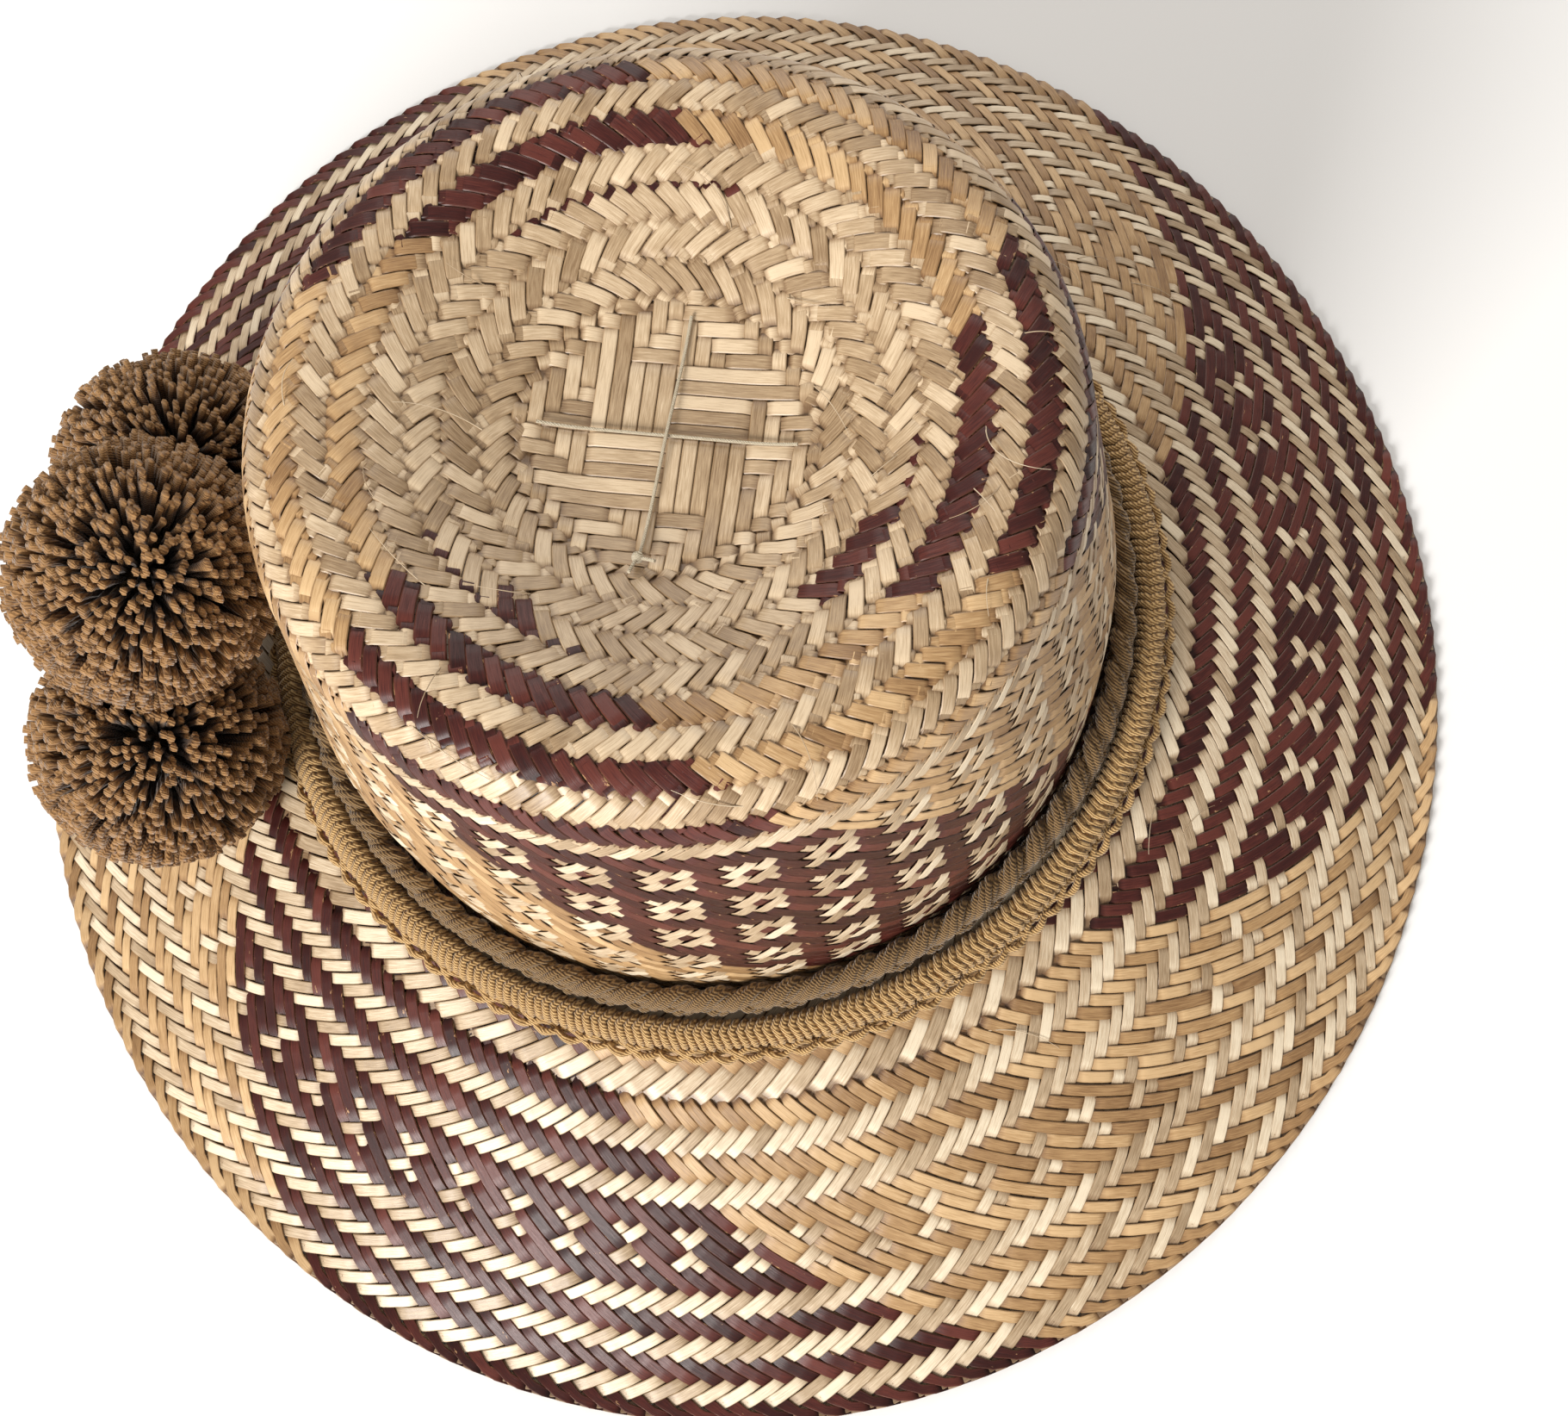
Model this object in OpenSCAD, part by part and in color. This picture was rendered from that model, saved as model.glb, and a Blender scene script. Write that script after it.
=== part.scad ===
// Hand-woven straw hat with a plaited cotton hat band and three pompoms.
// Millimetres, +Z up. Origin: centre of the rim, on the plane that the rim rests on.
// The front is -Y, the pompoms are on the left side, -X.

/* [Head opening] */
// Inside diameter of the sweatband (180 is a 565 mm head)
head_d = 180; // [160:1:196]
// Thickness of the sweatband tape
sweatband_t = 1.2; // [0.8:0.1:2]
// Height of the sweatband tape
sweatband_h = 32; // [22:1:42]
// Number of stitches that hold the sweatband
stitch_count = 60; // [40:4:80]

/* [Crown] */
// Thickness of the doubled weave in the crown
straw_t = 1.8; // [1.4:0.1:2.6]
// Height of the crown above the brim
crown_h = 116; // [98:1:140]
// How much the crown's radius shrinks from the brim to the shoulder
crown_taper = 9; // [0:0.5:12]
// Radius of the rounded shoulder
shoulder_r = 14; // [8:0.5:18]
// Depth of the dish in the crown's tip
dish_depth = 16; // [6:0.5:20]
// Radius of the flat middle of the dish
dish_flat_r = 16; // [8:1:22]

/* [Brim] */
// Width of the brim at the sides, edge included
brim_w = 84; // [66:1:104]
// How much further the rim reaches at the front and the back than at the sides
rim_extra = 10.6; // [0:0.2:14]
// How far the brim drops from the crown to the rim
brim_drop = 35; // [24:0.5:46]
// Bend of the brim: 1 is a straight cone, more drops later
brim_curve = 1.15; // [1:0.05:1.3]
// Thickness of the brim, measured upright
brim_t = 1.9; // [1.5:0.1:2.4]
// Width of the turned-back edge
edge_w = 4; // [3:0.1:6]
// Height of the turned-back edge
edge_h = 3.4; // [3:0.1:4.5]

/* [Hat band] */
// Gap between the band and the crown, and under the band
band_gap = 0.4; // [0.3:0.05:1]
// Width of the plait, from the crown outwards
braid_w = 6.2; // [5:0.1:8]
// Height of the plait
braid_h = 13.5; // [10:0.5:18]
// Diameter of the plied roll that runs round the plait
roll_d = 7; // [5.5:0.1:8]
// Diameter of the chain-stitch edge below the roll
lace_d = 2.2; // [1.6:0.1:2.8]
// Diameter of the knot that closes the band
knot_d = 12; // [10:0.5:14]
// Place of the knot round the crown, in degrees
knot_angle = 173; // [171:0.5:176]

/* [Pompoms] */
// Diameter of the dense part of a pompom
pompom_d = 52; // [44:1:60]
// Gap between a pompom and what it lies against
pompom_gap = 0.9; // [0.6:0.1:2]
// Place of the rear pompom round the crown, in degrees
back_angle = 159.7; // [156:0.1:160]
// Place of the front pompom round the crown, in degrees
front_angle = 188.8; // [187:0.1:192]
// Place of the top pompom round the crown, in degrees
top_angle = 178.8; // [176:0.1:181]
// Diameter of a pompom's cord
cord_d = 2.4; // [1.8:0.1:3]

/* [Tip stitches] */
// Half length of the long stitch across the tip
long_stitch = 25.5; // [18:0.5:30]
// Half length of the short stitch across the tip
short_stitch = 26; // [18:0.5:30]
// Diameter of the sewing thread
thread_d = 0.7; // [0.5:0.05:1]

/* [Hidden] */
$fn = 96;
sew_gap = 0.05;                 // play between pieces that are sewn or tied together
ring_steps = 72;                // facets round the oval brim

// crown
head_r = head_d / 2;
wall_in_r = head_r + sweatband_t + sew_gap;
wall_r = wall_in_r + straw_t;
edge_lift = 1;                  // underside of the brim above the resting plane, at the edge
rim_top_z = edge_lift + brim_t;
crown_z = rim_top_z + brim_drop;
top_z = crown_z + crown_h;
tip_r = wall_r - crown_taper - shoulder_r;
straight_h = sweatband_h + 3;   // upright part of the wall, behind the sweatband
function smooth(t) = let (c = min(1, max(0, t))) c * c * (3 - 2 * c);
function dish_z(r) = top_z - dish_depth * (1 - smooth((r - dish_flat_r) / (tip_r - dish_flat_r)));

// brim: a ring at share s of its width is an oval, round at the crown
brim_in_r = wall_r / cos(180 / ring_steps);
brim_out_r = wall_r + brim_w - edge_w;
rim_r = wall_r + brim_w;
function share(r) = (r - brim_in_r) / (brim_out_r - brim_in_r);
function brim_z(s) = rim_top_z + brim_drop * (1 - pow(max(0, s), brim_curve));
function oval(r, a) = [r * cos(a), (r + rim_extra * max(0, share(r)) / share(rim_r)) * sin(a)];
function brim_slope(s) = atan(brim_drop * brim_curve * pow(s, brim_curve - 1) / (brim_out_r - brim_in_r));
// height at which a round thing of radius ball lies over the brim at radius r, with a gap
function on_brim(r, ball, gap) = brim_z(share(r)) + (ball + gap) / cos(brim_slope(share(r)));
// the same for a ring all round: the oval brim is highest at its front and back
function ring_on_brim(r, ball, gap) =
  let (k = rim_extra / (rim_r - brim_in_r)) on_brim((r + k * brim_in_r) / (1 + k), ball, gap);

// hat band
band_in_r = wall_r + band_gap;
braid_r = band_in_r + braid_w;
roll_c = braid_r + sew_gap + roll_d / 2;
roll_z = ring_on_brim(roll_c, roll_d / 2, band_gap);
band_out_r = roll_c + roll_d / 2;
lace_c = band_out_r + lace_d / 2 - 0.9;
lace_z = ring_on_brim(lace_c, lace_d / 2, band_gap);
braid_z = crown_z + band_gap;

// pompoms
pom_r = pompom_d / 2;
seat_r = band_out_r + pompom_gap + pom_r;
seat_z = on_brim(seat_r, pom_r, pompom_gap);
function ring_pt(r, a, z) = [r * cos(a), r * sin(a), z];
back_c = ring_pt(seat_r, back_angle, seat_z);
front_c = ring_pt(seat_r, front_angle, seat_z);
top_r = wall_r + pom_r;
function flat_dist(a, b) = norm([a[0] - b[0], a[1] - b[1]]);
function stack_z(c) = sqrt(max(0, pow(pompom_d + pompom_gap, 2) - pow(flat_dist(c, ring_pt(top_r, top_angle, 0)), 2)));
top_c = ring_pt(top_r, top_angle, seat_z + max(stack_z(back_c), stack_z(front_c)));
anchor = ring_pt(band_in_r + braid_w / 2, top_angle, braid_z + braid_h);
binding_r = 4.5;                // neck of the yarn bundle inside a pompom
binding_d = 2;                  // thickness of the binding's thread ring
eye_r = 0.7 * cord_d;           // eye at the band end of a short cord

// A ring of revolution from an outline of [radius, height] points
module turned(outline) rotate_extrude() polygon(outline);

// A straight round cord between two points
module rod(p, q, d) {
  v = q - p;
  translate(p) rotate([0, acos(v[2] / norm(v)), atan2(v[1], v[0])]) cylinder(d = d, h = norm(v), $fn = 24);
}

// A thin thread swept along points that lie in one upright plane, turned by angle round +Z
module thread_path(points, d, angle) {
  sides = 8;
  n = len(points);
  pts = [
    for (i = [0 : n - 1])
      let (ahead = points[min(n - 1, i + 1)] - points[max(0, i - 1)], up = [-ahead[1], ahead[0]] / norm(ahead))
        for (k = [0 : sides - 1])
          let (c = cos(360 * k / sides) * d / 2, w = sin(360 * k / sides) * d / 2)
            [points[i][0] + up[0] * c, w, points[i][1] + up[1] * c]
  ];
  walls = [
    for (i = [0 : n - 2], k = [0 : sides - 1])
      let (k2 = (k + 1) % sides) [i * sides + k, i * sides + k2, (i + 1) * sides + k2, (i + 1) * sides + k]
  ];
  caps = [[for (k = [sides - 1 : -1 : 0]) k], [for (k = [0 : sides - 1]) (n - 1) * sides + k]];
  rotate([0, 0, angle]) polyhedron(pts, concat(walls, caps), convexity = 6);
}

// An oval ring swept from a closed outline of [radius, height] points
module oval_ring(outline) {
  n = len(outline);
  pts = [
    for (i = [0 : ring_steps - 1], p = outline)
      let (a = 360 * i / ring_steps, xy = oval(p[0], a)) [xy[0], xy[1], p[1]]
  ];
  faces = [
    for (i = [0 : ring_steps - 1], j = [0 : n - 1])
      let (i2 = (i + 1) % ring_steps, j2 = (j + 1) % n)
        [i * n + j, i * n + j2, i2 * n + j2, i2 * n + j]
  ];
  polyhedron(pts, faces, convexity = 6);
}

// ---- woven shell: tip, wall, brim and edge ----

// Dished tip of the crown, inside the rounded shoulder
module crown_tip() {
  steps = 18;
  upper = [for (i = [0 : steps]) let (r = tip_r * i / steps) [r, dish_z(r)]];
  lower = [for (i = [steps : -1 : 0]) let (r = tip_r * i / steps) [r, dish_z(r) - straw_t]];
  color("#d9c79c") turned(concat(upper, lower));
}

// Rounded shoulder, a quarter turn from the tip to the wall
module crown_shoulder() {
  c = [tip_r, top_z - shoulder_r];
  function arc(r, first, last) = [for (k = [0 : 10]) let (a = first + (last - first) * k / 10) c + r * [cos(a), sin(a)]];
  color("#e2d3ab") turned(concat(arc(shoulder_r, 90, 0), arc(shoulder_r - straw_t, 0, 90)));
}

// Wall of the crown: upright at its foot, then leaning in to the shoulder
module crown_wall() {
  high_z = top_z - shoulder_r;
  high_r = tip_r + shoulder_r;
  outline = [
    [high_r, high_z], [wall_r, crown_z + straight_h], [wall_r, crown_z - brim_t],
    [wall_in_r, crown_z - brim_t], [wall_in_r, crown_z + straight_h], [high_r - straw_t, high_z]
  ];
  color("#cbb587") turned(outline);
}

// Sloping oval brim, from the foot of the wall to the turned-back edge
module brim() {
  steps = 6;
  function ring(k, dz) = let (s = k / steps) [brim_in_r + s * (brim_out_r - brim_in_r), brim_z(s) + dz];
  outline = concat([for (k = [0 : steps]) ring(k, 0)], [for (k = [steps : -1 : 0]) ring(k, -brim_t)]);
  color("#c9ae7c") oval_ring(outline);
}

// Turned-back edge, with the flat ring that the hat rests on
module brim_edge() {
  bevel = 1;
  outline = [
    [brim_out_r, edge_h - 0.3], [brim_out_r + 0.3, edge_h], [rim_r - bevel, edge_h],
    [rim_r, edge_h - bevel], [rim_r, bevel], [rim_r - bevel, 0],
    [brim_out_r + edge_lift / 2, 0], [brim_out_r, edge_lift / 2]
  ];
  color("#a5824f") oval_ring(outline);
}

// ---- sewing thread across the tip ----

// One long stitch that follows the dish, with its ends dipping into the weave
module tip_stitch(half, angle, over) {
  steps = 12;
  lift = thread_d / 2 + 0.12;
  path = [
    for (i = [-steps : steps])
      let (x = half * i / steps) [x, dish_z(abs(x)) + lift + over * max(0, 1 - abs(x) / dish_flat_r)]
  ];
  thread_path(path, thread_d, angle);
}

long_angle = -107;
short_angle = -13.5;
module tip_stitch_long() { color("#8f7a55") tip_stitch(long_stitch, long_angle, thread_d + 0.3); }
module tip_stitch_short() { color("#8f7a55") tip_stitch(short_stitch, short_angle, 0); }

// Knot with two loose ends, past the front end of the long stitch
module tip_knot() {
  knot_r = 1.2;
  r = long_stitch + knot_r + sew_gap + 0.1;
  c = [r * cos(long_angle), r * sin(long_angle), dish_z(r) + knot_r + 0.3];
  color("#8f7a55") union() {
    translate(c) sphere(r = knot_r, $fn = 24);
    rod(c, c + [3.4, -1.8, 1.6], thread_d);
    rod(c, c + [-1.8, -3.6, 2.2], thread_d);
  }
}

// ---- sweatband inside the crown's foot ----
sweat_z = crown_z - brim_t + 1.2;
lap_w = 14;
lap_t = 0.5;

// Stretch of the tape's inner face at the back, t deep and w wide
module lap_zone(t, w, h) {
  intersection() {
    cylinder(r = head_r + t, h = h, $fn = 720);
    translate([-w / 2, head_r / 2, 0]) cube([w, head_r, h]);
  }
}

// Plain tape, rounded along both edges, with a shallow seat for the lap
module sweatband() {
  soft = 0.4;
  outline = [
    [head_r + soft, sweat_z], [head_r + sweatband_t, sweat_z],
    [head_r + sweatband_t, sweat_z + sweatband_h], [head_r + soft, sweat_z + sweatband_h],
    [head_r, sweat_z + sweatband_h - soft], [head_r, sweat_z + soft]
  ];
  color("#cdbb97") difference() {
    turned(outline);
    translate([0, 0, sweat_z - 1]) lap_zone(lap_t + sew_gap, lap_w + 2 * sew_gap, sweatband_h + 2);
  }
}

// Lap where the ends of the tape meet at the back, seated in the tape
module sweatband_lap() {
  color("#bda984") translate([0, 0, sweat_z + 0.5]) difference() {
    lap_zone(lap_t, lap_w, sweatband_h - 1);
    translate([0, 0, -1]) cylinder(r = head_r, h = sweatband_h + 1, $fn = 720);
  }
}

// Stitches over the tape's lower edge
module sweatband_stitches() {
  leg = 2.2;
  color("#efe6cf") for (i = [0 : stitch_count - 1])
    rotate([0, 0, 360 * (i + 0.5) / stitch_count])
      translate([head_r + sweatband_t / 2, -leg / 2, sweat_z - thread_d / 2 - sew_gap])
        rotate([-90, 0, 0]) cylinder(d = thread_d, h = leg, $fn = 16);
}

// ---- hat band: plait, roll, chain edge and knot ----

// Closed cotton plait that lies against the crown
module band_braid() {
  soft = 2.2;
  outline = [
    [band_in_r, braid_z + 1], [band_in_r + 1, braid_z], [braid_r, braid_z],
    [braid_r, braid_z + braid_h - soft], [braid_r - soft, braid_z + braid_h],
    [band_in_r + 0.8, braid_z + braid_h], [band_in_r, braid_z + braid_h - 0.8]
  ];
  color("#8a7647") turned(outline);
}

// Plied roll along the outside of the plait
module band_roll() {
  color("#927d4c") rotate_extrude() translate([roll_c, roll_z]) circle(d = roll_d, $fn = 32);
}

// Chain-stitch edge that lies on the brim
module band_lace() {
  color("#7d6a3e") difference() {
    rotate_extrude() translate([lace_c, lace_z]) circle(d = lace_d, $fn = 24);
    rotate_extrude() translate([roll_c, roll_z]) circle(d = roll_d + 2 * sew_gap, $fn = 32);
  }
}

// Bound join that closes the band: a saddle over the roll, behind the pompoms
module band_knot() {
  color("#7d6a3e") intersection() {
    difference() {
      rotate_extrude() translate([roll_c, roll_z]) circle(d = knot_d, $fn = 48);
      rotate_extrude() translate([roll_c, roll_z]) circle(d = roll_d + 2 * sew_gap, $fn = 32);
      cylinder(r = braid_r + sew_gap, h = top_z);
    }
    rotate([0, 0, knot_angle]) translate([roll_c - knot_d, -knot_d / 2, roll_z + roll_d / 4])
      cube([2 * knot_d, knot_d, knot_d]);
  }
}

// ---- pompoms ----

// Where a cord's inner end meets the binding round the middle c of a pompom
function tied_end(c, p) = c + (p - c) / norm(p - c) * (binding_r + binding_d / 2 + sew_gap);

// Ball of cut yarn with room for its binding and for a cord between p and q
module yarn_ball(c, p, q) {
  difference() {
    translate(c) sphere(r = pom_r);
    translate(c) binding_ring(binding_d + 2 * sew_gap);
    rod(p, q + (q - p) / norm(q - p) * band_gap, cord_d + 2 * band_gap);
    translate(p) sphere(r = eye_r + band_gap, $fn = 32);
  }
}

// Thread ring that ties the bundle at its waist
module binding_ring(d) { rotate_extrude() translate([binding_r, 0]) circle(d = d, $fn = 24); }

// Short cord from a pompom's binding to its eye at the band
module short_cord(c, p) {
  rod(p, tied_end(c, p), cord_d);
  translate(p) sphere(r = eye_r, $fn = 32);
}

// Eye of a short cord: just outside the band, level with the roll's top
function eye(angle) = ring_pt(band_out_r + pompom_gap + eye_r, angle, roll_z + roll_d / 2);

module pompom_back_yarn() { color("#7a6334") yarn_ball(back_c, eye(back_angle), tied_end(back_c, eye(back_angle))); }
module pompom_front_yarn() { color("#7a6334") yarn_ball(front_c, eye(front_angle), tied_end(front_c, eye(front_angle))); }
module pompom_top_yarn() { color("#86703d") yarn_ball(top_c, anchor, top_c); }
module pompom_back_binding() { color("#4d3b1d") translate(back_c) binding_ring(binding_d); }
module pompom_front_binding() { color("#4d3b1d") translate(front_c) binding_ring(binding_d); }
module pompom_top_binding() { color("#4d3b1d") translate(top_c) binding_ring(binding_d); }
module pompom_back_cord() { color("#8a7647") short_cord(back_c, eye(back_angle)); }
module pompom_front_cord() { color("#8a7647") short_cord(front_c, eye(front_angle)); }

// Cord that stands on the plait; the top pompom slides along it
module pompom_top_cord() {
  color("#8a7647") difference() {
    rod(anchor, top_c, cord_d);
    cylinder(r = braid_r, h = braid_z + braid_h);
  }
}

crown_tip();
crown_shoulder();
crown_wall();
brim();
brim_edge();
tip_stitch_long();
tip_stitch_short();
tip_knot();
sweatband();
sweatband_lap();
sweatband_stitches();
band_braid();
band_roll();
band_lace();
band_knot();
pompom_top_cord();
pompom_back_yarn();
pompom_back_binding();
pompom_back_cord();
pompom_front_yarn();
pompom_front_binding();
pompom_front_cord();
pompom_top_yarn();
pompom_top_binding();
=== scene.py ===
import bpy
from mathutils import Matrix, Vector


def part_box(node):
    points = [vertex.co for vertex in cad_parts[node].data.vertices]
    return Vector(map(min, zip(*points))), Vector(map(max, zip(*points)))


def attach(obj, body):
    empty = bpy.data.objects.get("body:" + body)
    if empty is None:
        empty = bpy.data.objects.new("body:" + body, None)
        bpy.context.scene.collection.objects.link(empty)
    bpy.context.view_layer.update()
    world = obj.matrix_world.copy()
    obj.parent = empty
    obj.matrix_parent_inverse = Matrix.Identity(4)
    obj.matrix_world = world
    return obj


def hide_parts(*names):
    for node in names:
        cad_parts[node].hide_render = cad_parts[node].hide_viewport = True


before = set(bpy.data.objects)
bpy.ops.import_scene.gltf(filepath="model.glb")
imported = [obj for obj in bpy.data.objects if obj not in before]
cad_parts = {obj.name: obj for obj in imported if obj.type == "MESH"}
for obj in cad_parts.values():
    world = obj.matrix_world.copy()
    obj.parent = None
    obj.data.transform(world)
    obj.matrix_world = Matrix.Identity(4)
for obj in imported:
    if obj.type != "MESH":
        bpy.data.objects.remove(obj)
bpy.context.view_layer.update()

import math

import bmesh
import bpy
import numpy as np
from mathutils import Matrix, Vector

mm = 0.001
rng = np.random.default_rng(41)

# ---------------------------------------------------------------- sizes read from the part
brim_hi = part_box("brim")[1]
edge_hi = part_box("brim_edge")[1]
wall_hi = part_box("crown_wall")[1]
shoulder_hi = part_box("crown_shoulder")[1]
tip_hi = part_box("crown_tip")[1]
braid_lo, braid_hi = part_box("band_braid")
roll_lo, roll_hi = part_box("band_roll")
lace_lo, lace_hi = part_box("band_lace")

half_straw = 0.95 * mm                                   # half the thickness of the crown and the brim
foot_r, foot_z = wall_hi[0], brim_hi[2]                  # outside of the crown at its foot
tip_r, top_z, high_z = tip_hi[0], shoulder_hi[2], wall_hi[2]
straight_z = foot_z + 35 * mm                            # below this the wall stands upright
dish_flat, dish_depth = 16 * mm, 16 * mm                 # flat middle of the sunken tip, and how deep it lies
rim_r, rim_extra = edge_hi[0], edge_hi[1] - edge_hi[0]   # the brim is longer than wide by twice rim_extra
brim_in, brim_out = foot_r + 0.09 * mm, brim_hi[0]
brim_drop, brim_curve = 35 * mm, 1.15
rim_top = foot_z - brim_drop


# ---------------------------------------------------------------- building node trees
def add(tree, kind, **inputs):
    """A node of this kind. A keyword is a property, or a socket by its name or number, given a value or a link."""
    node = tree.nodes.new(kind)
    links = []
    for key, value in inputs.items():
        if key in node.bl_rna.properties:
            setattr(node, key, value)
        else:
            links.append((key, value))
    for key, value in links:
        socket = node.inputs[int(key[1:])] if key[0] == "_" else node.inputs[key.replace("_", " ")]
        if isinstance(value, bpy.types.NodeSocket):
            tree.links.new(value, socket)
        else:
            socket.default_value = value
    return node


def math_node(tree, operation, a, b=0.5):
    return add(tree, "ShaderNodeMath", operation=operation, _0=a, _1=b).outputs[0]


def times(tree, a, b):
    return math_node(tree, "MULTIPLY", a, b)


def plus(tree, a, b):
    return math_node(tree, "ADD", a, b)


def new_group(name, inputs, outputs, kind="ShaderNodeTree"):
    tree = bpy.data.node_groups.new(name, kind)
    for label, socket, value in inputs:
        made = tree.interface.new_socket(label, in_out="INPUT", socket_type=socket)
        if value is not None:
            made.default_value = value
    for label, socket in outputs:
        tree.interface.new_socket(label, in_out="OUTPUT", socket_type=socket)
    return tree, tree.nodes.new("NodeGroupInput"), tree.nodes.new("NodeGroupOutput")


def ramp(tree, factor, *stops):
    node = add(tree, "ShaderNodeValToRGB", Fac=factor)
    elements = node.color_ramp.elements
    while len(elements) < len(stops):
        elements.new(0.5)
    for element, (at, colour) in zip(elements, stops):
        element.position, element.color = at, (*colour, 1)
    return node.outputs[0]


def mix(tree, factor, a, b, blend="MIX"):
    node = add(tree, "ShaderNodeMix", data_type="RGBA", blend_type=blend, _0=factor)
    for socket, value in ((node.inputs[6], a), (node.inputs[7], b)):
        if isinstance(value, bpy.types.NodeSocket):
            tree.links.new(value, socket)
        else:
            socket.default_value = (*value, 1)
    return node.outputs[2]


def attribute(tree, name):
    return add(tree, "ShaderNodeAttribute", attribute_name=name).outputs["Fac"]


def named_attribute(tree, name, kind="FLOAT"):
    return add(tree, "GeometryNodeInputNamedAttribute", data_type=kind, Name=name).outputs["Attribute"]


def stored(tree, geometry, name, value, domain="POINT"):
    """The geometry with a value stored on it as a named attribute."""
    return add(tree, "GeometryNodeStoreNamedAttribute", data_type="FLOAT", domain=domain, Geometry=geometry,
               Name=name, Value=value).outputs[0]


def random_between(tree, low, high, seed):
    node = add(tree, "FunctionNodeRandomValue", data_type="FLOAT", Seed=seed)
    node.inputs[2].default_value, node.inputs[3].default_value = low, high
    return node.outputs[1]


def finish_tree(tree, geometry, gin, gout):
    """Ends a tree with real, smooth shaded geometry in the material that the tree is given."""
    whole = add(tree, "GeometryNodeRealizeInstances", Geometry=geometry)
    smooth = add(tree, "GeometryNodeSetShadeSmooth", Geometry=whole.outputs[0])
    done = add(tree, "GeometryNodeSetMaterial", Geometry=smooth.outputs[0], Material=gin.outputs["Material"])
    tree.links.new(done.outputs[0], gout.inputs[0])


# ---------------------------------------------------------------- shared finishes
def strip_fibre_group():
    """Long fibres of a split straw, read along and across the strip."""
    tree, gin, gout = new_group(
        "Strip fibre",
        [("Along", "NodeSocketFloat", 0), ("Across", "NodeSocketFloat", 0), ("Strand", "NodeSocketFloat", 0),
         ("Fineness", "NodeSocketFloat", 1)],
        [("Streak", "NodeSocketFloat"), ("Tone", "NodeSocketFloat"), ("Edge", "NodeSocketFloat"),
         ("Height", "NodeSocketFloat"), ("Scuff", "NodeSocketFloat")])
    along, across = gin.outputs["Along"], gin.outputs["Across"]
    own_place = times(tree, gin.outputs["Strand"], 61.7)  # sets each strip's pattern apart from its neighbours'
    fine = add(tree, "ShaderNodeCombineXYZ", X=times(tree, along, 90.0),
               Y=times(tree, across, gin.outputs["Fineness"]), Z=own_place)
    streak = add(tree, "ShaderNodeTexNoise", Vector=fine.outputs[0], Scale=2.6, Detail=3.0, Roughness=0.6)
    slow = add(tree, "ShaderNodeCombineXYZ", X=times(tree, along, 75.0), Z=own_place)
    tone = add(tree, "ShaderNodeTexNoise", Vector=slow.outputs[0], Scale=1.0, Detail=1.0)
    worn = add(tree, "ShaderNodeCombineXYZ", X=times(tree, along, 300.0), Y=times(tree, across, 1.3), Z=own_place)
    scuff = add(tree, "ShaderNodeTexNoise", Vector=worn.outputs[0], Scale=0.8, Detail=4.0, Roughness=0.7)
    edge = math_node(tree, "POWER", math_node(tree, "ABSOLUTE", across), 7.0)
    height = math_node(tree, "SUBTRACT", streak.outputs["Fac"], times(tree, edge, 0.4))
    for label, socket in (("Streak", streak.outputs["Fac"]), ("Tone", tone.outputs["Fac"]), ("Edge", edge),
                          ("Height", height), ("Scuff", scuff.outputs["Fac"])):
        tree.links.new(socket, gout.inputs[label])
    return tree


def yarn_ply_group():
    """Twisted plies with soft fuzz, for the yarn and thread pieces."""
    tree, gin, gout = new_group(
        "Yarn ply",
        [("Vector", "NodeSocketVector", None), ("Turns", "NodeSocketFloat", 900), ("Fuzz", "NodeSocketFloat", 2500)],
        [("Ply", "NodeSocketFloat"), ("Fuzz", "NodeSocketFloat"), ("Height", "NodeSocketFloat")])
    wave = add(tree, "ShaderNodeTexWave", Vector=gin.outputs["Vector"], Scale=gin.outputs["Turns"],
               Distortion=1.6, Detail=2.0, Detail_Scale=1.5)
    wave.bands_direction = "DIAGONAL"
    fuzz = add(tree, "ShaderNodeTexNoise", Vector=gin.outputs["Vector"], Scale=gin.outputs["Fuzz"], Detail=3.0)
    height = plus(tree, wave.outputs["Fac"], fuzz.outputs["Fac"])
    for label, socket in (("Ply", wave.outputs["Fac"]), ("Fuzz", fuzz.outputs["Fac"]), ("Height", height)):
        tree.links.new(socket, gout.inputs[label])
    return tree


strip_fibre = strip_fibre_group()
yarn_ply = yarn_ply_group()


def new_material(name, roughness, specular=0.5, sheen=0.0, coat=0.0, coat_rough=0.2):
    material = bpy.data.materials.new(name)
    material.use_nodes = True
    tree = material.node_tree
    shader = tree.nodes["Principled BSDF"]
    shader.inputs["Roughness"].default_value = roughness
    shader.inputs["Specular IOR Level"].default_value = specular
    shader.inputs["Sheen Weight"].default_value = sheen
    shader.inputs["Coat Weight"].default_value = coat
    shader.inputs["Coat Roughness"].default_value = coat_rough
    return material, tree, shader


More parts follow.
